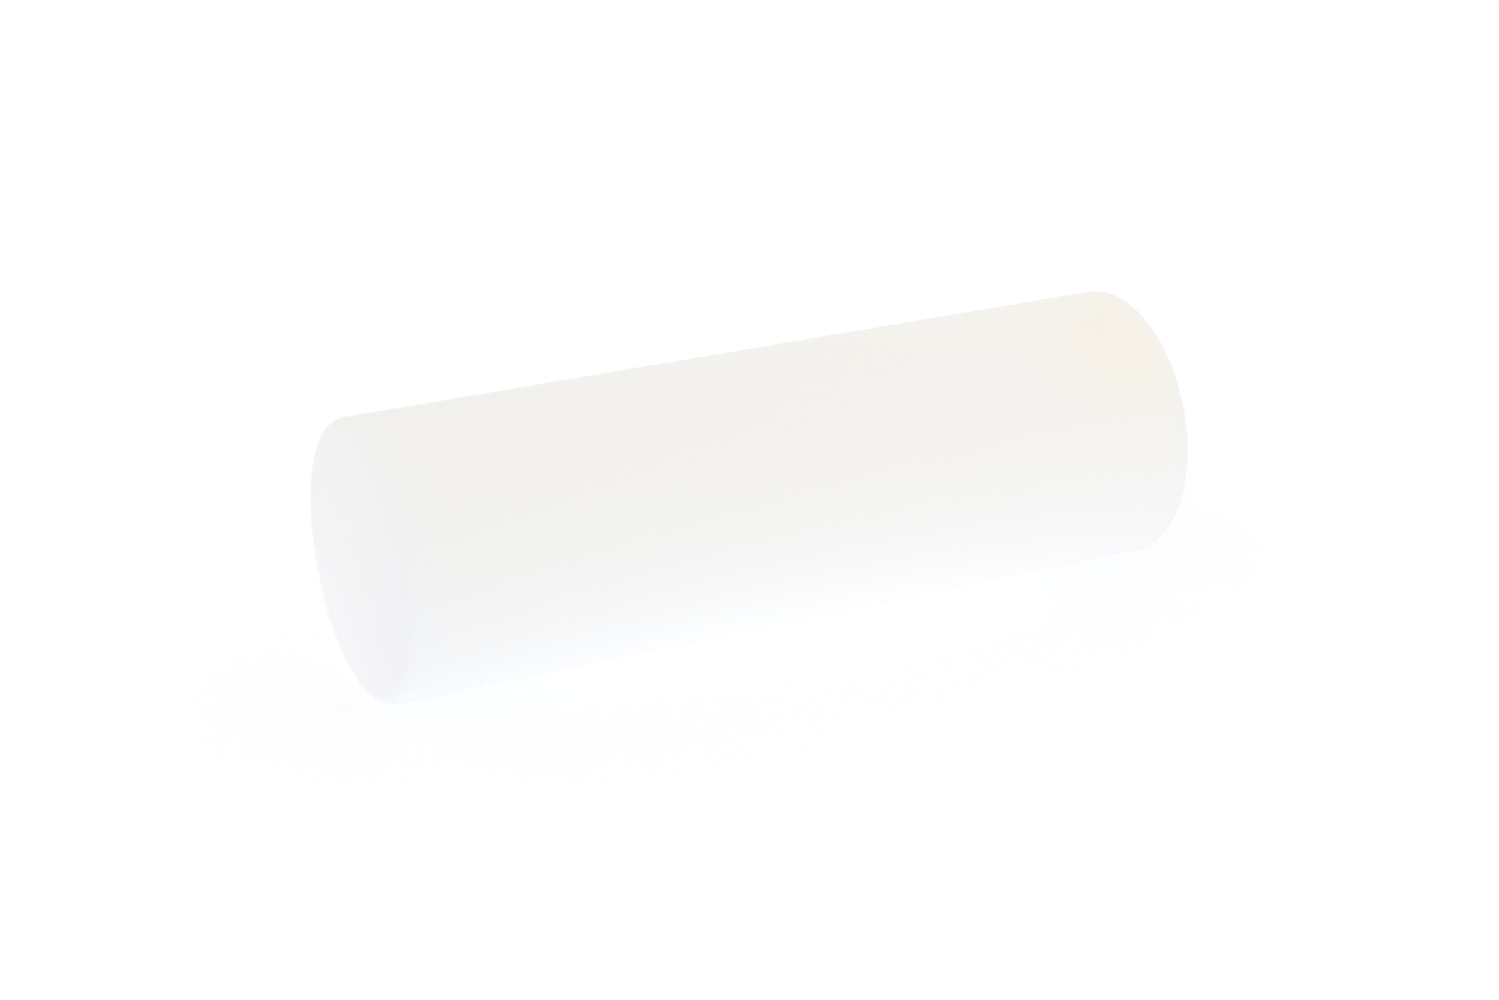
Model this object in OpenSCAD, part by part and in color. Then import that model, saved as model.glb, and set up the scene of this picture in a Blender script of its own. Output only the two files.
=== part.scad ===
// Foam roller with closed ends, lying on its side.
//
// A firm core, built up from three foam planks and turned round, is wrapped in one sheet of
// softer foam. The two long edges of the sheet meet in a butt joint low on the back. A foam
// disc with a rounded rim is bonded over each end and hides the ends of the core and the sheet.
//
// The roller's axis runs along X. The origin is on the ground, under the middle of the roller.

/* [Roller] */
// Length over the two end faces
roller_length = 460; // [300:10:900]
// Outside diameter of the rolling surface
roller_diameter = 150; // [120:1:180]

/* [Jacket] */
// Thickness of the sheet that wraps the core
jacket_thickness = 10; // [6:1:20]
// Place of the sheet's butt joint, in degrees below level at the back
butt_angle = 35; // [0:5:60]
// Width of the glue line between the sheet's two edges
butt_gap = 0.2; // [0.1:0.05:0.4]

/* [End discs] */
// Thickness of the disc that closes each end
disc_thickness = 10; // [6:0.5:20]
// Radius that the disc's outer rim is rounded to
rim_radius = 7; // [2:0.5:9]

/* [Core] */
// Thickness of the middle plank
plank_thickness = 50; // [40:1:60]
// Thickness of the glue film between the core and the jacket
glue_film = 0.2; // [0.1:0.05:0.3]

/* [Joints] */
// Bevel on each outside edge that meets another, which leaves a fine V-groove at the joint
edge_bevel = 0.15; // [0.1:0.05:0.6]

/* [Hidden] */

$fn = 128;

skin_colour = "#F3F2EE";
core_colour = "#E9ECEE";

outer_radius = roller_diameter / 2;
// The roller lies on the ground, so its axis is one radius up
axis_height = outer_radius;
jacket_bore_radius = outer_radius - jacket_thickness;
core_radius = jacket_bore_radius - glue_film;
// The jacket and the core end together, and the discs cover both
wrapped_length = roller_length - 2 * disc_thickness;
// The rounding stops short of the bevel on the disc's inner edge
rim = min(rim_radius, disc_thickness - 2 * edge_bevel);
half_plank = plank_thickness / 2;
// Spare length of a cutting shape past what it cuts
cut_past = 1;

// Turns a shape made about Z so that it lies about the roller's axis, with +Z towards +X
module about_axis() {
    translate([0, 0, axis_height])
        rotate([0, 90, 0])
            children();
}

// Everything between two heights that are measured from the roller's axis
module height_band(low, high) {
    translate([-wrapped_length / 2 - cut_past, -outer_radius, axis_height + low])
        cube([wrapped_length + 2 * cut_past, roller_diameter, high - low]);
}

// The part of the turned core that lies between two heights
module core_plank(low, high) {
    color(core_colour)
        intersection() {
            about_axis()
                cylinder(r = core_radius, h = wrapped_length, center = true);
            height_band(low, high);
        }
}

module core_lower_plank() {
    core_plank(-outer_radius, -half_plank);
}

module core_middle_plank() {
    core_plank(-half_plank, half_plank);
}

module core_upper_plank() {
    core_plank(half_plank, outer_radius);
}

// Half of the wrapped sheet's section: its outer corners are bevelled where the discs meet it
module jacket_section() {
    end = wrapped_length / 2;
    polygon([
        [jacket_bore_radius, -end],
        [outer_radius - edge_bevel, -end],
        [outer_radius, -end + edge_bevel],
        [outer_radius, end - edge_bevel],
        [outer_radius - edge_bevel, end],
        [jacket_bore_radius, end]
    ]);
}

// The slit between the sheet's two edges, opened to a V-groove at the rolling surface
module butt_joint() {
    cut_length = wrapped_length + 2 * cut_past;
    groove_side = sqrt(2) * (edge_bevel + butt_gap / 2);
    translate([0, 0, axis_height])
        rotate([-butt_angle, 0, 0]) {
            translate([-cut_length / 2, jacket_bore_radius - cut_past, -butt_gap / 2])
                cube([cut_length, jacket_thickness + 2 * cut_past, butt_gap]);
            translate([0, outer_radius, 0])
                rotate([45, 0, 0])
                    cube([cut_length, groove_side, groove_side], center = true);
        }
}

module jacket() {
    color(skin_colour)
        difference() {
            about_axis()
                rotate_extrude()
                    jacket_section();
            butt_joint();
        }
}

// Half of the disc's section, with its inner face at the bottom and its rounded rim at the top
module disc_section() {
    shoulder = disc_thickness - rim;
    polygon([
        [0, 0],
        [outer_radius - edge_bevel, 0],
        [outer_radius, edge_bevel],
        [outer_radius, shoulder],
        [outer_radius - rim, shoulder],
        [outer_radius - rim, disc_thickness],
        [0, disc_thickness]
    ]);
    translate([outer_radius - rim, shoulder])
        intersection() {
            circle(r = rim);
            square(rim);
        }
}

module right_end_disc() {
    color(skin_colour)
        translate([wrapped_length / 2, 0, 0])
            about_axis()
                rotate_extrude()
                    disc_section();
}

module left_end_disc() {
    mirror([1, 0, 0])
        right_end_disc();
}

jacket();
left_end_disc();
right_end_disc();
core_lower_plank();
core_middle_plank();
core_upper_plank();
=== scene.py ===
"""Foam roller with closed ends and rounded rims, lying on its side on a white studio floor.

The roller is a firm core of three foam planks in a wrapped foam jacket, with a foam disc over each
end. Every piece is made about the roller's axis, which runs along X, one radius above the floor.
"""
import logging
import math
from dataclasses import dataclass
from enum import Enum
from typing import Callable

import bmesh
import bpy
from mathutils import Matrix, Vector, noise


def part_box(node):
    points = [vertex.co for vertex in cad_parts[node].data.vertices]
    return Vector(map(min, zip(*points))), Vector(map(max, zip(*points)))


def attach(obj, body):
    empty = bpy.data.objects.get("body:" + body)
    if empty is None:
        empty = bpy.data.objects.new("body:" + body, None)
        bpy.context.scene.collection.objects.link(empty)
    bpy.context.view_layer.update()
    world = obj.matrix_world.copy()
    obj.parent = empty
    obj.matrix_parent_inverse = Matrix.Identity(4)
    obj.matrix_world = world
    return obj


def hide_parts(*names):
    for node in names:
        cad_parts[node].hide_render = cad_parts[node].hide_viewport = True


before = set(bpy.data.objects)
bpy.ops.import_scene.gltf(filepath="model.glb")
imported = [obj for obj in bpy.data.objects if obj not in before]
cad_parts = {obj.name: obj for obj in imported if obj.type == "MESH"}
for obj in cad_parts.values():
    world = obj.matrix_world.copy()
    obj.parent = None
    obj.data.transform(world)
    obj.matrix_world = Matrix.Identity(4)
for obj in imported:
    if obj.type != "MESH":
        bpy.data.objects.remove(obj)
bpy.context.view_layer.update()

log = logging.getLogger("foam_roller")

MM = 0.001

Colour = tuple[float, float, float]
Place = tuple[float, float, float]
Mesh = bmesh.types.BMesh
Edge = bmesh.types.BMEdge
Face = bmesh.types.BMFace
Socket = bpy.types.NodeSocket

ALONG = Vector((1.0, 0.0, 0.0)).freeze()
UP = Vector((0.0, 0.0, 1.0)).freeze()
# Turns what stands along Z to lie along X.
LAID_DOWN = Matrix.Rotation(math.radians(90.0), 4, "Y").freeze()
# A direction in which no two corners of a piece lie equally far.
SLANT = Vector((1.0, 0.618, 0.417)).freeze()

# The folds between two faces, in degrees, from which an edge counts as sharp.
SHADING_FOLD = 35.0
CORNER_FOLD = 60.0
PLANK_FOLD = 20.0
# How close to a cutting plane a corner counts as being on it.
ON_PLANE = 0.001 * MM


class End(Enum):
    """The two ends of the roller, by their side along X."""

    LEFT = -1
    RIGHT = 1


class Layer(Enum):
    """The three planks of the core, from the floor up."""

    LOWER = "core_lower_plank"
    MIDDLE = "core_middle_plank"
    UPPER = "core_upper_plank"


# ---------------------------------------------------------------------------------------------
# Sizes
# ---------------------------------------------------------------------------------------------


@dataclass(frozen=True)
class RollerPlan:
    """The roller's sizes in metres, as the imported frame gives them."""

    half_length: float
    half_jacket: float
    radius: float
    core_radius: float
    axis_height: float
    rim: float = 7.0 * MM
    skin: float = 1.0 * MM

    @classmethod
    def from_frame(cls) -> "RollerPlan":
        """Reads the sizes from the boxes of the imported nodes.

        Returns:
            The plan that every piece is made to.
        """
        jacket_low, jacket_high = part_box("jacket")
        disc_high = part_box("right_end_disc")[1]
        core_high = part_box("core_middle_plank")[1]
        radius = -jacket_low.y
        return cls(
            half_length=disc_high.x,
            half_jacket=jacket_high.x,
            radius=radius,
            core_radius=core_high.y,
            axis_height=jacket_low.z + radius,
        )

    @property
    def centre(self) -> Vector:
        """The middle of the roller, on its axis."""
        return Vector((0.0, 0.0, self.axis_height))

    @property
    def disc_thickness(self) -> float:
        """The thickness of the foam disc over each end."""
        return self.half_length - self.half_jacket

    def from_axis(self, point: Vector) -> float:
        """The distance of a point from the roller's axis."""
        return math.hypot(point.y, point.z - self.axis_height)

    def is_under_skin(self, point: Vector) -> bool:
        """Whether a point lies deeper than the skin of the rolling surface."""
        return self.from_axis(point) < self.radius - self.skin

    def outward(self, point: Vector) -> Vector:
        """The direction straight out of the roller's surface.

        Args:
            point: A point on the surface.

        Returns:
            A unit vector: from the axis on the side, along X on an end, and between on a rim.
        """
        spoke = Vector((0.0, point.y, point.z - self.axis_height))
        past_side = max(0.0, abs(point.x) - (self.half_length - self.rim))
        past_face = max(0.0, spoke.length - (self.radius - self.rim))
        out = Vector((math.copysign(past_side, point.x), 0.0, 0.0))
        if past_face > 0.0:
            out += spoke.normalized() * past_face
        return out.normalized()

    def on_side(self, along: float, turned: float) -> Vector:
        """A point on the rolling surface.

        Args:
            along: Distance along X from the middle of the roller.
            turned: Angle from straight up towards the front (-Y), in degrees.

        Returns:
            The point, in metres.
        """
        turn = math.radians(turned)
        outward = Vector((0.0, -math.sin(turn), math.cos(turn)))
        return Vector((along, 0.0, self.axis_height)) + outward * self.radius


# ---------------------------------------------------------------------------------------------
# Foam finishes
# ---------------------------------------------------------------------------------------------

# Which sockets of a colour Mix node take the share and the two colours, and which gives the result.
MIX_SHARE = 0
MIX_FIRST = 6
MIX_SECOND = 7
MIX_RESULT = 2

REFRACTION = 1.45
# How far the cells wander out of line, in cells, and how many times they do so in a cell's width.
CELL_WANDER = 0.35
WANDERS_PER_CELL = 0.35
WALL_SOFTNESS = 0.35
# From where to where a cell's wall gets darker, and how light the foam is at its darkest.
WALL_RISE = (0.25, 0.75)
WALL_TONE = 0.8
# The middle part of the slow change, which is stretched to run from 0 to 1.
DRIFT_RISE = (0.3, 0.7)
# The smooth and the rough places: how fine their mottling is, and the share of each pattern.
MOTTLES_PER_CELL = 0.25
MOTTLE_SHARE = 0.6
ROUGHNESS_DRIFT_SHARE = 0.4
ROUGHNESS_RISE = (0.25, 0.75)
# The pebbling under the cells: how fine it is, how deep beside a cell, and how strongly both show.
PEBBLES_PER_CELL = 0.18
PEBBLE_DEPTH = 1.6
RELIEF_STRENGTH = 0.5


class Graph:
    """A short way to add and join shader nodes."""

    def __init__(self, tree: bpy.types.NodeTree) -> None:
        """Empties the tree and keeps it.

        Args:
            tree: The node tree that is filled.
        """
        self.tree = tree
        tree.nodes.clear()

    def add(self, kind: str, inputs: dict[str | int, object] | None = None,
            **settings: object) -> bpy.types.Node:
        """Adds a node.

        Args:
            kind: The node's type, without the leading "ShaderNode".
            inputs: Values or sockets to join, by the input's name or number.
            **settings: The node's own settings.

        Returns:
            The new node.
        """
        node = self.tree.nodes.new("ShaderNode" + kind)
        for name, value in settings.items():
            setattr(node, name, value)
        for name, value in (inputs or {}).items():
            if isinstance(value, Socket):
                self.tree.links.new(value, node.inputs[name])
            else:
                node.inputs[name].default_value = value
        return node

    def blend(self, factor: float | Socket, first: Colour | Socket,
              second: Colour | Socket) -> Socket:
        """Mixes two colours.

        Args:
            factor: The second colour's share, a number or a socket.
            first: A colour or a socket.
            second: A colour or a socket.

        Returns:
            The mixed colour's socket.
        """
        mix = self.add("Mix", data_type="RGBA")
        for place, value in ((MIX_SHARE, factor), (MIX_FIRST, first), (MIX_SECOND, second)):
            if isinstance(value, Socket):
                self.tree.links.new(value, mix.inputs[place])
            elif isinstance(value, tuple):
                mix.inputs[place].default_value = (*value, 1.0)
            else:
                mix.inputs[place].default_value = value
        return mix.outputs[MIX_RESULT]

    def ramp(self, value: Socket, low: float, high: float, to_low: float, to_high: float,
             smooth: bool = False) -> Socket:
        """Maps a range of a value to another range and holds it at both ends.

        Args:
            value: The value's socket.
            low: Where the range starts.
            high: Where the range stops.
            to_low: What the start becomes.
            to_high: What the stop becomes.
            smooth: Whether it eases in and out.

        Returns:
            The mapped value's socket.
        """
        node = self.add("MapRange", {
            "Value": value, "From Min": low, "From Max": high, "To Min": to_low, "To Max": to_high,
        }, interpolation_type="SMOOTHSTEP" if smooth else "LINEAR")
        return node.outputs["Result"]

    def stops(self, value: Socket, places: list[tuple[float, Colour]]) -> Socket:
        """Turns a value into a colour that changes evenly from stop to stop.

        Args:
            value: The value's socket.
            places: The value and the colour of each stop, with 0 first and 1 last.

        Returns:
            The colour's socket.
        """
        node = self.add("ValToRGB", {"Fac": value})
        elements = node.color_ramp.elements
        for place, _ in places[1:-1]:
            elements.new(place)
        for element, (place, colour) in zip(elements, places):
            element.position = place
            element.color = (*colour, 1.0)
        return node.outputs["Color"]

    def sum(self, first: float | Socket, second: float | Socket, operation: str = "ADD") -> Socket:
        """Joins two numbers by one sum.

        Args:
            first: A number or a socket.
            second: A number or a socket.
            operation: The sum's name, as the Math node has it.

        Returns:
            The result's socket.
        """
        return self.add("Math", {0: first, 1: second}, operation=operation).outputs[0]


@dataclass(frozen=True)
class Tone:
    """The foam's tone at one place along the roller; on the jacket and the discs it also carries
    painted light and shade.
    """

    along: float
    colour: Colour


@dataclass(frozen=True)
class LightPatch:
    """A soft round patch of painted light on the foam, and where along the roller it ends."""

    centre: Place
    reach: float
    colour: Colour
    share: float
    fades_from: float
    fades_to: float


@dataclass(frozen=True)
class FoamFinish:
    """Closed-cell foam: its tone, its fine cells and how it takes the light."""

    name: str
    tones: tuple[Tone, ...]
    roughness: float
    roughness_spread: float
    cell: float = 0.9 * MM
    cell_depth: float = 0.05 * MM
    cell_shade: float = 0.06
    specular: float = 0.4
    # The slow change: how wide its clouds are, and how far they go towards the last tone.
    drift_span: float = 90.0 * MM
    drift_share: float = 0.2
    # Soft patches of painted light over the tone.
    light_patches: tuple[LightPatch, ...] = ()

    def material(self) -> bpy.types.Material:
        """Makes the foam's material.

        Returns:
            A material whose pattern is fixed to the piece.
        """
        made = bpy.data.materials.new(self.name)
        made.use_nodes = True
        graph = Graph(made.node_tree)
        place = graph.add("TexCoord").outputs["Object"]
        cells = self._cells(graph, place)
        drift = self._drift(graph, place)
        foam = graph.add("BsdfPrincipled", {
            "Base Color": self._tone(graph, place, cells, drift),
            "Roughness": self._roughness(graph, place, drift),
            "Normal": self._relief(graph, place, cells),
            "IOR": REFRACTION,
            "Specular IOR Level": self.specular,
        })
        graph.add("OutputMaterial", {"Surface": foam.outputs["BSDF"]})
        return made

    def _cells(self, graph: Graph, place: Socket) -> Socket:
        """The fine closed cells: 0 in the middle of a cell, rising towards its walls."""
        wander = graph.add("TexNoise", {
            "Vector": place, "Scale": WANDERS_PER_CELL / self.cell, "Detail": 1.0,
        })
        bent = graph.add("VectorMath", {
            0: wander.outputs["Color"], "Scale": CELL_WANDER * self.cell,
        }, operation="SCALE")
        moved = graph.add("VectorMath", {0: place, 1: bent.outputs[0]}, operation="ADD")
        walls = graph.add("TexVoronoi", {
            "Vector": moved.outputs[0], "Scale": 1.0 / self.cell, "Smoothness": WALL_SOFTNESS,
        }, feature="SMOOTH_F1")
        return walls.outputs["Distance"]

    def _drift(self, graph: Graph, place: Socket) -> Socket:
        """A slow change from place to place, from 0 to 1."""
        clouds = graph.add("TexNoise", {
            "Vector": place, "Scale": 1.0 / self.drift_span, "Detail": 3.0, "Roughness": 0.45,
        })
        return graph.ramp(clouds.outputs["Fac"], *DRIFT_RISE, 0.0, 1.0)

    def _tone(self, graph: Graph, place: Socket, cells: Socket, drift: Socket) -> Socket:
        """The foam's colour as it changes along the roller, which on the jacket and discs is painted
        light and shade, its patches of painted light, and its cell walls.
        """
        along = graph.add("SeparateXYZ", {0: place}).outputs["X"]
        start, stop = self.tones[0].along, self.tones[-1].along
        gone = graph.ramp(along, start, stop, 0.0, 1.0)
        tone = graph.stops(gone, [((tone.along - start) / (stop - start), tone.colour)
                                  for tone in self.tones])
        cloudy = graph.sum(drift, self.drift_share, "MULTIPLY")
        tone = graph.blend(cloudy, tone, self.tones[-1].colour)
        # Each patch paints a soft pool of light over the tone.
        for tint in self.light_patches:
            away = graph.add("VectorMath", {0: place, 1: tint.centre}, operation="DISTANCE")
            share = graph.ramp(away.outputs["Value"], 0.0, tint.reach, tint.share, 0.0, smooth=True)
            kept = graph.ramp(along, tint.fades_from, tint.fades_to, 1.0, 0.0, smooth=True)
            tone = graph.blend(graph.sum(share, kept, "MULTIPLY"), tone, tint.colour)
        walls = graph.ramp(cells, *WALL_RISE, 0.0, self.cell_shade)
        darker = tuple(WALL_TONE * part for part in self.tones[0].colour)
        return graph.blend(walls, tone, darker)

    def _roughness(self, graph: Graph, place: Socket, drift: Socket) -> Socket:
        """The skin is a little smoother in some places than in others, and mottled finely."""
        mottle = graph.add("TexNoise", {
            "Vector": place, "Scale": MOTTLES_PER_CELL / self.cell, "Detail": 3.0,
        })
        both = graph.sum(graph.sum(mottle.outputs["Fac"], MOTTLE_SHARE, "MULTIPLY"),
                         graph.sum(drift, ROUGHNESS_DRIFT_SHARE, "MULTIPLY"))
        low = self.roughness - self.roughness_spread
        high = self.roughness + self.roughness_spread
        return graph.ramp(both, *ROUGHNESS_RISE, low, high)

    def _relief(self, graph: Graph, place: Socket, cells: Socket) -> Socket:
        """Shallow dimples over the cells and a softer pebbling under them."""
        pebbles = graph.add("TexNoise", {
            "Vector": place, "Scale": PEBBLES_PER_CELL / self.cell, "Detail": 2.0,
        })
        soft = graph.add("Bump", {
            "Height": pebbles.outputs["Fac"], "Distance": PEBBLE_DEPTH * self.cell_depth,
            "Strength": RELIEF_STRENGTH,
        })
        fine = graph.add("Bump", {
            "Height": cells, "Distance": self.cell_depth, "Strength": RELIEF_STRENGTH,
            "Normal": soft.outputs[0],
        })
        return fine.outputs[0]


# ---------------------------------------------------------------------------------------------
# The roller's foams
# ---------------------------------------------------------------------------------------------

# The white where the left disc meets the jacket, painted cool for cool light, and where the right disc
# does, painted warm for warm light.
COOL_LIT_WHITE: Colour = (0.873, 0.879, 0.885)
WARM_LIT_WHITE: Colour = (0.911, 0.9, 0.881)


def warm_light_patch(plan: RollerPlan) -> LightPatch:
    """A painted pool of warm light on the side, high up by the right end."""
    centre = plan.on_side(along=0.92 * plan.half_jacket, turned=32.0)
    return LightPatch(centre=tuple(centre), reach=75.0 * MM, colour=(0.931, 0.892, 0.811), share=0.8,
                fades_from=plan.half_jacket - 2.0 * MM, fades_to=plan.half_length - 1.0 * MM)


def left_face_light_patch(plan: RollerPlan, behind: float, above: float, reach: float,
                    colour: Colour) -> LightPatch:
    """A patch of painted light on the left end's face, which is gone where the jacket begins.

    Args:
        plan: The roller's sizes.
        behind: How far the patch's centre lies behind the face's centre.
        above: How far it lies above the face's centre.
        reach: The patch's radius.
        colour: The painted tone in the patch.

    Returns:
        The patch.
    """
    centre = plan.centre + Vector((-plan.half_length, behind, above))
    return LightPatch(centre=tuple(centre), reach=reach, colour=colour, share=0.5,
                fades_from=-plan.half_length + 2.0 * MM, fades_to=-plan.half_jacket)


def jacket_foam(plan: RollerPlan) -> FoamFinish:
    """The jacket's foam, painted cool white by the left end and warmer by the right end, for cool and
    warm light.
    """
    # The cool left end and the warm right end are painted light.
    tones = (
        Tone(-plan.half_jacket, COOL_LIT_WHITE),
        Tone(-plan.half_jacket + 16.0 * MM, (0.88, 0.879, 0.873)),
        Tone(0.0, (0.898, 0.891, 0.878)),
        Tone(plan.half_jacket, WARM_LIT_WHITE),
    )
    return FoamFinish(name="jacket_foam_skin", tones=tones, roughness=0.58, roughness_spread=0.06,
                      light_patches=(warm_light_patch(plan),))


def disc_foam(plan: RollerPlan) -> FoamFinish:
    """The discs' foam: the jacket's painted tones go on, with painted cool shade and two patches of
    painted light on the left face.
    """
    tones = (
        # The left face and its near rim are painted darker and bluer, as shade in cool light.
        Tone(-plan.half_length, (0.862, 0.865, 0.877)),
        Tone(-plan.half_length + 4.0 * MM, (0.874, 0.881, 0.891)),
        Tone(-plan.half_jacket, COOL_LIT_WHITE),
        Tone(plan.half_jacket, WARM_LIT_WHITE),
        # Painted shade: the right rim is greyer, as if turned away from the light.
        Tone(plan.half_length, (0.893, 0.895, 0.898)),
    )
    # Painted light on the left face: paler and bluer low and behind, warmer high up.
    pale_light = left_face_light_patch(plan, behind=66.0 * MM, above=-32.0 * MM, reach=132.0 * MM,
                           colour=(0.916, 0.92, 0.935))
    cream_light = left_face_light_patch(plan, behind=18.0 * MM, above=38.0 * MM, reach=85.0 * MM,
                            colour=(0.902, 0.883, 0.845))
    return FoamFinish(name="disc_foam_skin", tones=tones, roughness=0.6, roughness_spread=0.05,
                      light_patches=(warm_light_patch(plan), pale_light, cream_light))


def plank_foam(plan: RollerPlan) -> FoamFinish:
    """The core's foam: coarser cells, and a greyer white."""
    tones = (
        Tone(-plan.half_jacket, (0.84, 0.86, 0.87)),
        Tone(plan.half_jacket, (0.81, 0.83, 0.84)),
    )
    return FoamFinish(name="core_plank_foam", tones=tones, roughness=0.7, roughness_spread=0.06,
                      cell=1.8 * MM, cell_depth=0.12 * MM, cell_shade=0.2, specular=0.3)


# ---------------------------------------------------------------------------------------------
# Making the pieces
# ---------------------------------------------------------------------------------------------


@dataclass(frozen=True)
class Unevenness:
    """The faint hollows of a wrapped foam surface, and the shallow valley at a pressed joint."""

    plan: RollerPlan
    depth: float = 0.16 * MM
    span: float = 55.0 * MM
    valley_depth: float = 0.06 * MM
    valley_reach: float = 2.2 * MM
    # Where the valley needs lines of edges, in shares of its reach.
    valley_steps: tuple[float, ...] = (0.2, 0.45, 0.7, 1.0)

    def sink(self, mesh: Mesh, keep: Callable[[Vector], bool]) -> None:
        """Presses the surface in a little, here more and there less.

        Args:
            mesh: The mesh whose outer surface is pressed in.
            keep: Says of a point whether it stays where it is.
        """
        for vertex in mesh.verts:
            if not keep(vertex.co):
                vertex.co -= self.plan.outward(vertex.co) * self.depth_at(vertex.co)

    def valley_lines(self) -> list[float]:
        """The distances from a joint at which its valley needs lines of edges."""
        return [share * self.valley_reach for share in self.valley_steps]

    def depth_at(self, point: Vector) -> float:
        """How far the surface lies in at a point, in metres."""
        hollow = self.depth * swing_to_share(noise.noise(point / self.span))
        away = abs(abs(point.x) - self.plan.half_jacket)
        return hollow + valley(away, self.valley_reach, self.valley_depth)


def swing_to_share(swing: float) -> float:
    """Turns a number between -1 and 1 into one between 0 and 1."""
    return 0.5 + 0.5 * swing


def valley(away: float, reach: float, depth: float) -> float:
    """The depth of a smooth valley.

    Args:
        away: Distance from the valley's line.
        reach: Half of the valley's width.
        depth: Depth at its line.

    Returns:
        The depth at that distance, 0 outside the valley.
    """
    if away >= reach:
        return 0.0
    return depth * swing_to_share(math.cos(math.pi * away / reach))


def in_order(mesh: Mesh) -> Mesh:
    """Makes a mesh anew in a fixed order, as rounding and cutting leave the order to chance.

    Args:
        mesh: The mesh as it was cut and rounded. It is freed.

    Returns:
        The same mesh, with its corners and faces in order of their places.
    """
    mesh.verts.sort(key=lambda vertex: SLANT.dot(vertex.co))
    mesh.verts.index_update()
    rings = []
    for face in mesh.faces:
        ring = [vertex.index for vertex in face.verts]
        start = ring.index(min(ring))
        rings.append(ring[start:] + ring[:start])
    fresh = bmesh.new()
    corners = [fresh.verts.new(vertex.co) for vertex in mesh.verts]
    for ring in sorted(rings):
        fresh.faces.new([corners[number] for number in ring])
    fresh.normal_update()
    mesh.free()
    return fresh


def folded_edges(mesh: Mesh, least_fold: float) -> list[Edge]:
    """The edges whose two faces fold by more than an angle in degrees."""
    return [edge for edge in mesh.edges if edge.calc_face_angle(0.0) > math.radians(least_fold)]


def finish_piece(mesh: Mesh, name: str, nodes: tuple[str, ...], finish: FoamFinish) -> bpy.types.Object:
    """Turns a finished bmesh into a piece of the roller.

    Args:
        mesh: The closed mesh, in the shared frame. It is freed.
        name: The piece's name.
        nodes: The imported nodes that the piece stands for.
        finish: The foam that it is made of.

    Returns:
        The new object, which rides on the one body.
    """
    mesh = in_order(mesh)
    for face in mesh.faces:
        face.smooth = True
    for edge in mesh.edges:
        edge.smooth = edge.calc_face_angle(0.0) < math.radians(SHADING_FOLD)
    data = bpy.data.meshes.new(name)
    mesh.to_mesh(data)
    mesh.free()
    data.materials.append(finish.material())
    piece = bpy.data.objects.new(name, data)
    bpy.context.scene.collection.objects.link(piece)
    weighted = piece.modifiers.new("even_shading", "WEIGHTED_NORMAL")
    weighted.keep_sharp = True
    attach(piece, "root")
    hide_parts(*nodes)
    log.info("%s: %d faces, for %s", name, len(data.polygons), ", ".join(nodes))
    return piece


def bevel_edges(mesh: Mesh, edges: list[Edge], width: float, steps: int) -> None:
    """Rounds edges off evenly.

    Args:
        mesh: The mesh that the edges are in.
        edges: The edges.
        width: How far the rounding reaches from each edge.
        steps: Segments across the rounding.
    """
    bmesh.ops.bevel(mesh, geom=edges, offset=width, offset_type="OFFSET", segments=steps,
                    profile=0.5, affect="EDGES", material=-1, clamp_overlap=True)


def cut_line(mesh: Mesh, place: Vector, across: Vector, faces: list[Face] | None = None) -> Mesh:
    """Adds a line of edges where a plane meets the mesh, and leaves its shape as it is.

    Args:
        mesh: The mesh that gets the line. It is freed.
        place: A point on the plane.
        across: The plane's normal.
        faces: The faces that the line may cross, or all of them.

    Returns:
        The mesh with the line, in a fixed order.
    """
    crossed = mesh.faces[:] if faces is None else faces
    # A dictionary keeps the order in which it is filled, and a set doesn't.
    points = dict.fromkeys(vertex for face in crossed for vertex in face.verts)
    edges = dict.fromkeys(edge for face in crossed for edge in face.edges)
    bmesh.ops.bisect_plane(mesh, geom=[*points, *edges, *crossed], dist=ON_PLANE,
                           plane_co=place, plane_no=across)
    return in_order(mesh)


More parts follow.
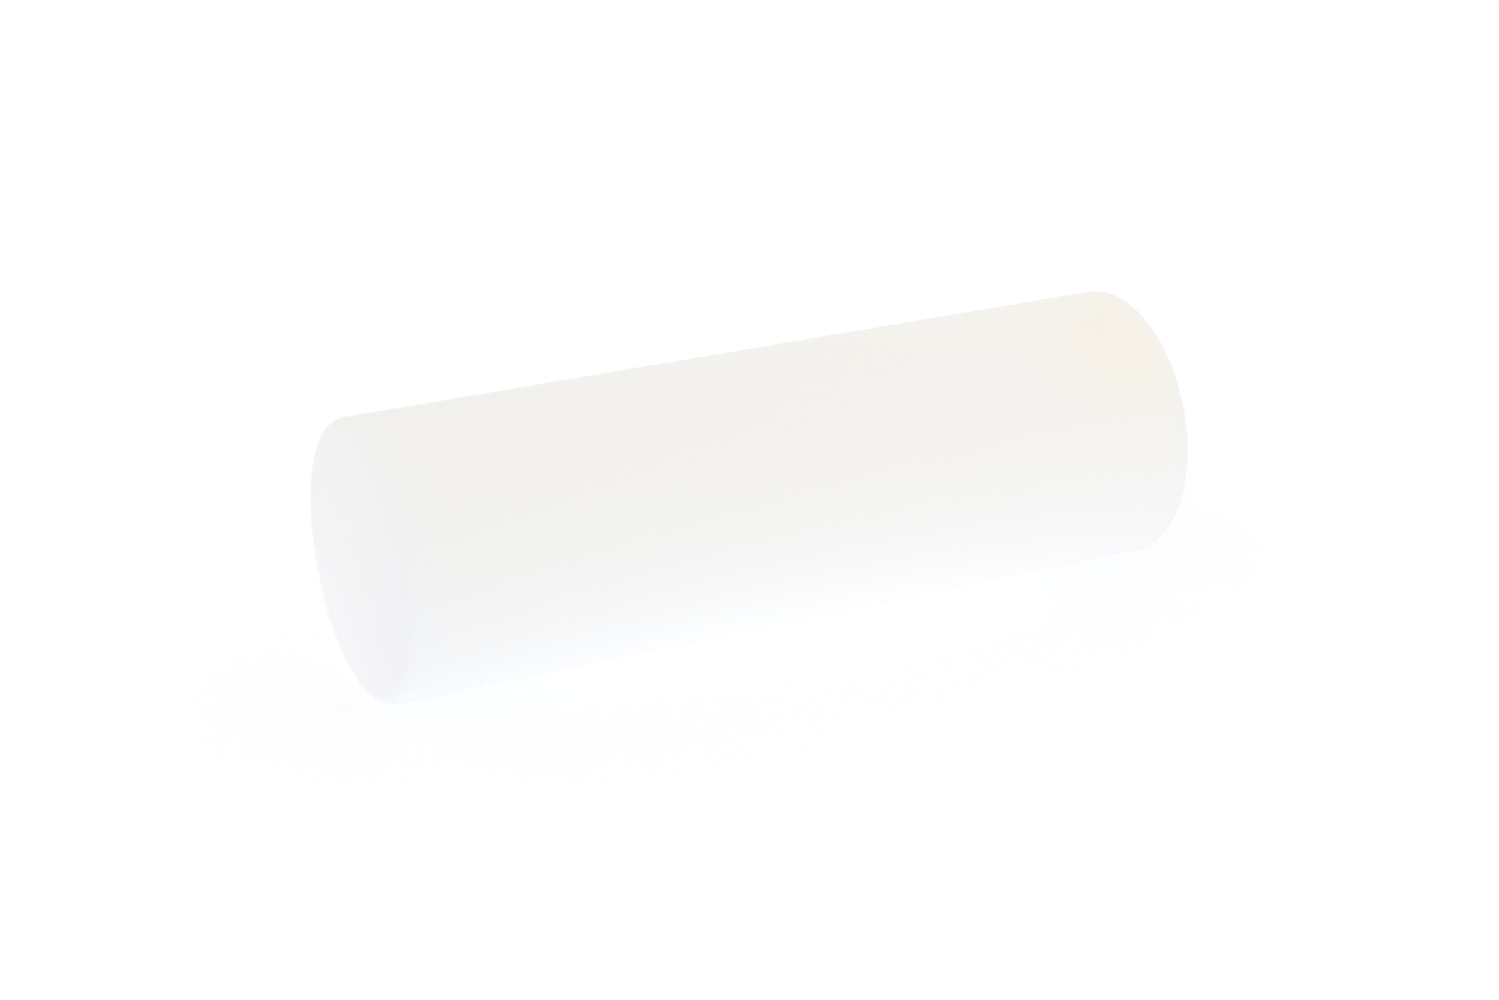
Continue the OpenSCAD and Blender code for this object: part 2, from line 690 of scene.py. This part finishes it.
@dataclass
class JacketWrap:
    """The sheet of soft foam round the core, whose two long edges meet low on the back."""

    plan: RollerPlan
    finish: FoamFinish
    uneven: Unevenness
    butt_angle: float = 35.0
    butt_gap: float = 0.2 * MM
    butt_waver: float = 0.06 * MM
    butt_waver_span: float = 14.0 * MM
    # How far into the noise, either way, the wavers of the two cut edges are taken.
    butt_waver_place: float = 3.7
    # Half of the strip that gets fine lines, in radii.
    butt_strip: float = 0.2
    # The lip that wavers, in widths of a rounded edge with its half of the gap.
    butt_lip: float = 2.0
    glue_film: float = 0.2 * MM
    edge_rounding: float = 0.02 * MM
    edge_steps: int = 3
    cells_along: int = 88
    cells_through: int = 2
    cells_around: int = 224

    def build(self) -> bpy.types.Object:
        """Makes the jacket.

        Returns:
            The jacket's object.
        """
        mesh = bmesh.new()
        self._cut_edge(mesh)
        self._wrap(mesh)
        mesh = self._line_joints(mesh)
        self._round_edges(mesh)
        self.uneven.sink(mesh, self.plan.is_under_skin)
        self._press_butt_joint(mesh)
        return finish_piece(mesh, "roller_jacket", ("jacket",), self.finish)

    @property
    def bore(self) -> float:
        """The radius of the jacket's inner face."""
        return self.plan.core_radius + self.glue_film

    @property
    def slit(self) -> float:
        """The angle that the butt joint's slit takes up at the rolling surface."""
        return self.butt_gap / self.plan.radius

    def _cut_edge(self, mesh: Mesh) -> None:
        """Lays out the sheet's long cut edge beside the butt joint."""
        thickness = self.plan.radius - self.bore
        lay = Matrix.Translation(self.plan.centre)
        turn = Matrix.Rotation(-math.radians(self.butt_angle) + self.slit / 2, 4, "X")
        out = Matrix.Translation(Vector((0.0, self.bore + thickness / 2, 0.0)))
        size = Matrix.Diagonal(Vector((self.plan.half_jacket, thickness / 2, 1.0, 1.0)))
        bmesh.ops.create_grid(mesh, x_segments=self.cells_along, y_segments=self.cells_through,
                              size=1.0, matrix=lay @ turn @ out @ size)

    def _wrap(self, mesh: Mesh) -> None:
        """Carries the cut edge round the core to the other side of the slit."""
        bmesh.ops.spin(mesh, geom=mesh.verts[:] + mesh.edges[:] + mesh.faces[:],
                       cent=self.plan.centre, axis=ALONG, angle=2 * math.pi - self.slit,
                       steps=self.cells_around, use_merge=False)
        bmesh.ops.recalc_face_normals(mesh, faces=mesh.faces[:])

    def _line_joints(self, mesh: Mesh) -> Mesh:
        """Adds fine lines of edges beside the joints, where the surface dips into a valley.

        Args:
            mesh: The wrapped sheet. It is freed.

        Returns:
            The sheet with its lines.
        """
        for step in self.uneven.valley_lines():
            for side in (-1.0, 1.0):
                place = side * (self.plan.half_jacket - step) * ALONG
                mesh = cut_line(mesh, place, ALONG)
        strip = self.butt_strip * self.plan.radius
        for step in self.uneven.valley_lines():
            for side in (-1.0, 1.0):
                beside = [face for face in mesh.faces
                          if abs(self._from_butt(face.calc_center_median())) < strip]
                turn = side * (self.slit / 2 + step / self.plan.radius)
                across = Matrix.Rotation(turn - math.radians(self.butt_angle), 3, "X") @ UP
                mesh = cut_line(mesh, self.plan.centre, across, beside)
        return mesh

    def _press_butt_joint(self, mesh: Mesh) -> None:
        """Draws the surface in at the butt joint, and lets the two cut edges waver a little."""
        out = self._butt_direction()
        sideways = out.cross(ALONG)
        lip = self.butt_lip * (self.butt_gap / 2 + self.edge_rounding)
        for vertex in mesh.verts:
            away = self._from_butt(vertex.co)
            if abs(away) > self.uneven.valley_reach or self.plan.is_under_skin(vertex.co):
                continue
            depth = valley(abs(away), self.uneven.valley_reach, self.uneven.valley_depth)
            vertex.co -= out * depth
            if abs(away) < lip:
                side = math.copysign(self.butt_waver_place, away)
                seed = Vector((vertex.co.x / self.butt_waver_span, side, 0.0))
                vertex.co += sideways * (self.butt_waver * noise.noise(seed))

    def _butt_direction(self) -> Vector:
        """The direction from the axis to the butt joint."""
        turn = math.radians(self.butt_angle)
        return Vector((0.0, math.cos(turn), -math.sin(turn)))

    def _from_butt(self, point: Vector) -> float:
        """How far round the rolling surface a point lies from the butt joint, with its side."""
        out = self._butt_direction()
        spoke = Vector((0.0, point.y, point.z - self.plan.axis_height))
        turned = math.atan2(out.cross(spoke).x, out.dot(spoke))
        return turned * self.plan.radius

    def _round_edges(self, mesh: Mesh) -> None:
        """Rounds the outer edges, where the sheet meets the discs and itself."""
        near_outside = self.plan.radius - self.edge_rounding
        edges = [edge for edge in folded_edges(mesh, CORNER_FOLD)
                 if all(self.plan.from_axis(vertex.co) > near_outside for vertex in edge.verts)]
        bevel_edges(mesh, edges, self.edge_rounding, self.edge_steps)


@dataclass
class EndDisc:
    """The foam disc with a rounded rim that is bonded over one end."""

    plan: RollerPlan
    end: End
    finish: FoamFinish
    uneven: Unevenness
    edge_rounding: float = 0.02 * MM
    edge_steps: int = 3
    rim_steps: int = 12
    cells_around: int = 224
    rings: int = 9

    def build(self) -> bpy.types.Object:
        """Makes the disc.

        Returns:
            The disc's object.
        """
        mesh = bmesh.new()
        self._cut_disc(mesh)
        self._round_rim(mesh)
        for step in self.uneven.valley_lines():
            place = self.outward * (self.plan.half_jacket + step) * ALONG
            mesh = cut_line(mesh, place, ALONG)
        self._ring_faces(mesh)
        self.uneven.sink(mesh, self._is_glued)
        side = self.end.name.lower()
        return finish_piece(mesh, f"{side}_rounded_disc", (f"{side}_end_disc",),
                            self.finish)

    @property
    def outward(self) -> float:
        """+1 or -1, the side of the roller that the disc is on."""
        return float(self.end.value)

    @property
    def middle(self) -> float:
        """How far from the middle of the roller the middle of the disc's thickness is."""
        return self.plan.half_jacket + self.plan.disc_thickness / 2

    def _cut_disc(self, mesh: Mesh) -> None:
        """Cuts the plain round disc, standing against the end of the jacket."""
        place = Matrix.Translation(self.plan.centre + self.outward * self.middle * ALONG)
        bmesh.ops.create_cone(mesh, cap_ends=True, cap_tris=False, segments=self.cells_around,
                              radius1=self.plan.radius, radius2=self.plan.radius,
                              depth=self.plan.disc_thickness, matrix=place @ LAID_DOWN)
        bmesh.ops.recalc_face_normals(mesh, faces=mesh.faces[:])

    def _round_rim(self, mesh: Mesh) -> None:
        """Rounds the outer rim, and takes the sharpness off the inner edge."""
        corners = folded_edges(mesh, CORNER_FOLD)
        inner = [edge for edge in corners if self.outward * edge.verts[0].co.x < self.middle]
        outer = [edge for edge in corners if self.outward * edge.verts[0].co.x > self.middle]
        bevel_edges(mesh, outer, self.plan.rim, self.rim_steps)
        bevel_edges(mesh, inner, self.edge_rounding, self.edge_steps)

    def _ring_faces(self, mesh: Mesh) -> None:
        """Divides both flat faces into rings, and closes each at its middle."""
        flat = [face for face in mesh.faces if len(face.verts) > 4]
        ring_width = (self.plan.radius - self.plan.rim) / (self.rings + 1)
        for face in flat:
            for _ in range(self.rings):
                bmesh.ops.inset_region(mesh, faces=[face], thickness=ring_width,
                                       use_even_offset=True, use_boundary=True)
        bmesh.ops.poke(mesh, faces=flat)

    def _is_glued(self, point: Vector) -> bool:
        """Whether a point is on the glued face, short of its outer edge."""
        return self.outward * point.x < self.middle and self.plan.is_under_skin(point)


@dataclass
class CorePlank:
    """One of the three welded planks that the core is turned from."""

    plan: RollerPlan
    layer: Layer
    finish: FoamFinish
    edge_rounding: float = 0.1 * MM
    edge_steps: int = 2
    cells_around: int = 160

    def build(self) -> bpy.types.Object:
        """Makes the plank.

        Returns:
            The plank's object.
        """
        mesh = bmesh.new()
        low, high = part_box(self.layer.value)
        bmesh.ops.create_cone(mesh, cap_ends=True, cap_tris=False, segments=self.cells_around,
                              radius1=self.plan.core_radius, radius2=self.plan.core_radius,
                              depth=2 * self.plan.half_jacket,
                              matrix=Matrix.Translation(self.plan.centre) @ LAID_DOWN)
        if self.layer is not Layer.UPPER:
            self._saw(mesh, high.z, 1.0)
        if self.layer is not Layer.LOWER:
            self._saw(mesh, low.z, -1.0)
        bmesh.ops.recalc_face_normals(mesh, faces=mesh.faces[:])
        bevel_edges(mesh, folded_edges(mesh, PLANK_FOLD), self.edge_rounding, self.edge_steps)
        name = f"{self.layer.name.lower()}_core_foam"
        return finish_piece(mesh, name, (self.layer.value,), self.finish)

    def _saw(self, mesh: Mesh, height: float, upward: float) -> None:
        """Saws the turned core at one height and closes the cut.

        Args:
            mesh: The mesh that is cut.
            height: The cut's height above the floor.
            upward: 1 if what is above the cut goes, -1 if what is below it goes.
        """
        cut = bmesh.ops.bisect_plane(mesh, geom=mesh.verts[:] + mesh.edges[:] + mesh.faces[:],
                                     plane_co=height * UP, plane_no=upward * UP, clear_outer=True)
        edges = [item for item in cut["geom_cut"] if isinstance(item, Edge)]
        bmesh.ops.contextual_create(mesh, geom=edges)


# ---------------------------------------------------------------------------------------------
# Studio
# ---------------------------------------------------------------------------------------------


@dataclass
class Studio:
    """The camera, the floor that glows softly, and the soft light all round.

    The floor and the room look plain white to the camera. What they send to the roller is set
    apart from that, so the floor can glow like a light table and still show the shadow.
    """

    plan: RollerPlan
    azimuth: float = -26.49
    elevation: float = 22.39
    distance: float = 1.755
    lens: float = 77.95
    film_width: float = 36.0
    nearest_seen: float = 0.05
    furthest_seen: float = 60.0
    # How far the roller's centre lies to the right of the view's middle, and above it.
    aim_across: float = 4.67 * MM
    aim_above: float = 6.54 * MM
    # The floor as it is seen: a matte white with a faint light of its own.
    floor_radius: float = 9.0
    floor_sides: int = 96
    floor_colour: Colour = (0.9, 0.9, 0.9)
    floor_lift: Colour = (0.112, 0.117, 0.142)
    # The floor as it lights the roller: a weak bounce, and a glow that fades away from its middle.
    bounce_colour: Colour = (0.126, 0.126, 0.126)
    glow_colour: Colour = (1.01, 1.036, 1.083)
    glow_far_colour: Colour = (0.868, 0.892, 0.94)
    glow_middle: Place = (-0.03, 0.05, 0.0)
    glow_falls_from: float = 0.08
    glow_falls_to: float = 0.45
    # The room's light from high up and from low down, and how high the low light reaches.
    sky_colour: Colour = (1.001, 0.986, 0.956)
    sky_low_colour: Colour = (1.03, 1.015, 0.988)
    sky_low_reach: float = 0.6
    backdrop_colour: Colour = (1.0, 1.0, 1.0)

    def camera(self) -> None:
        """Sets the camera up in front of the left end, looking down at the roller."""
        turn, rise = math.radians(self.azimuth), math.radians(self.elevation)
        back = Vector((math.sin(turn) * math.cos(rise), -math.cos(turn) * math.cos(rise),
                       math.sin(rise)))
        right = Vector((math.cos(turn), math.sin(turn), 0.0))
        above = back.cross(right)
        data = bpy.data.cameras.new("studio_camera")
        data.lens = self.lens
        data.sensor_width = self.film_width
        data.clip_start = self.nearest_seen
        data.clip_end = self.furthest_seen
        eye = bpy.data.objects.new("studio_camera", data)
        eye.location = (self.plan.centre + back * self.distance - right * self.aim_across
                        - above * self.aim_above)
        eye.rotation_mode = "QUATERNION"
        eye.rotation_quaternion = (-back).to_track_quat("-Z", "Y")
        bpy.context.scene.collection.objects.link(eye)
        bpy.context.scene.camera = eye

    def floor(self) -> None:
        """Lays a white floor that glows softly like a light table and still takes the shadow."""
        mesh = bmesh.new()
        bmesh.ops.create_circle(mesh, cap_ends=True, segments=self.floor_sides,
                                radius=self.floor_radius)
        data = bpy.data.meshes.new("studio_floor")
        mesh.to_mesh(data)
        mesh.free()
        made = bpy.data.materials.new("white_table")
        made.use_nodes = True
        graph = Graph(made.node_tree)
        direct = seen_directly(graph)
        shade = graph.blend(direct, self.bounce_colour, self.floor_colour)
        matte = graph.add("BsdfDiffuse", {"Color": shade})
        place = graph.add("TexCoord").outputs["Object"]
        away = graph.add("VectorMath", {0: place, 1: self.glow_middle}, operation="DISTANCE")
        fallen = graph.ramp(away.outputs["Value"], self.glow_falls_from, self.glow_falls_to,
                            0.0, 1.0, smooth=True)
        soft = graph.blend(fallen, self.glow_colour, self.glow_far_colour)
        shown = graph.blend(direct, soft, self.floor_lift)
        glow = graph.add("Emission", {"Color": shown, "Strength": 1.0})
        both = graph.add("AddShader", {0: matte.outputs[0], 1: glow.outputs[0]})
        graph.add("OutputMaterial", {"Surface": both.outputs[0]})
        data.materials.append(made)
        floor = bpy.data.objects.new("studio_floor", data)
        bpy.context.scene.collection.objects.link(floor)

    def surroundings(self) -> None:
        """Lights the roller evenly from all round, in front of a white backdrop."""
        world = bpy.data.worlds.new("soft_room")
        world.use_nodes = True
        bpy.context.scene.world = world
        graph = Graph(world.node_tree)
        direct = seen_directly(graph)
        upward = graph.add("SeparateXYZ", {0: graph.add("TexCoord").outputs["Generated"]})
        height = graph.ramp(upward.outputs["Z"], 0.0, self.sky_low_reach, 0.0, 1.0, smooth=True)
        soft = graph.blend(height, self.sky_low_colour, self.sky_colour)
        colour = graph.blend(direct, soft, self.backdrop_colour)
        sky = graph.add("Background", {"Color": colour, "Strength": 1.0})
        graph.add("OutputWorld", {"Surface": sky.outputs[0]})


def seen_directly(graph: Graph) -> Socket:
    """1 where a surface is seen, mirrored or seen through, and 0 where it only lights."""
    path = graph.add("LightPath").outputs
    mirrored = graph.sum(path["Is Camera Ray"], path["Is Glossy Ray"], "MAXIMUM")
    return graph.sum(mirrored, path["Is Transmission Ray"], "MAXIMUM")


# ---------------------------------------------------------------------------------------------
# The whole roller
# ---------------------------------------------------------------------------------------------


def main() -> None:
    """Sets up the studio and makes the roller's six pieces to the sizes that the frame gives."""
    logging.basicConfig(level=logging.INFO, format="%(message)s")
    plan = RollerPlan.from_frame()
    studio = Studio(plan)
    studio.camera()
    bpy.context.scene.view_settings.view_transform = "Standard"

    uneven = Unevenness(plan)
    JacketWrap(plan, jacket_foam(plan), uneven).build()
    discs = disc_foam(plan)
    for end in End:
        EndDisc(plan, end, discs, uneven).build()
    planks = plank_foam(plan)
    for layer in Layer:
        CorePlank(plan, layer, planks).build()

    studio.floor()
    studio.surroundings()


if __name__ == "__main__":
    main()
